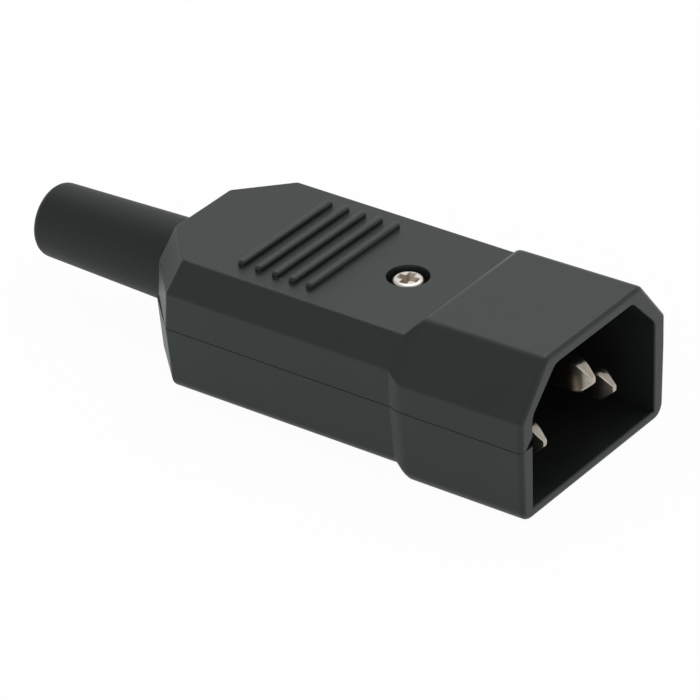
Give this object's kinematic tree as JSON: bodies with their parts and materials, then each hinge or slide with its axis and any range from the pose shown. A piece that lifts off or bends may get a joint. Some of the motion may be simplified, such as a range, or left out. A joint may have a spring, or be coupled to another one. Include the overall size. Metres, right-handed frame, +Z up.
{
  "type": "iec power plug",
  "caption": "Inline power plug: keyed hollow mouth with flat contact blades, two-shell body closed by a screw, finger ridges and a tapered strain-relief boot.",
  "frame": {"origin": "centre of the bounding box on the surface that the plug lies on, at the underside of the mouth's shroud", "axes": "+X along the plug towards its mouth, +Y across it, +Z up towards the keyed, slanted corners"},
  "size_m": [0.0766, 0.029, 0.019],
  "materials": {
    "housing": "fine satin moulding",
    "carrier": "moulded",
    "contact": "nickel plated, satin",
    "screw": "zinc plated",
    "plate": "zinc plated",
    "nut": "zinc plated",
    "clamp": "moulded",
    "boot": "soft satin"
  },
  "bodies": {
    "root": {"upper_shell": "housing", "lower_shell": "housing", "pin_carrier": "carrier", "line_pin": "contact", "neutral_pin": "contact", "earth_pin": "contact", "line_terminal_screw": "screw", "neutral_terminal_screw": "screw", "earth_terminal_screw": "screw", "line_clamp_plate": "plate", "neutral_clamp_plate": "plate", "earth_clamp_plate": "plate", "cord_clamp_bar": "clamp", "cord_clamp_screw_left": "screw", "cord_clamp_screw_right": "screw", "body_screw": "screw", "body_nut": "nut", "strain_relief_boot": "boot"}
  },
  "joints": []
}
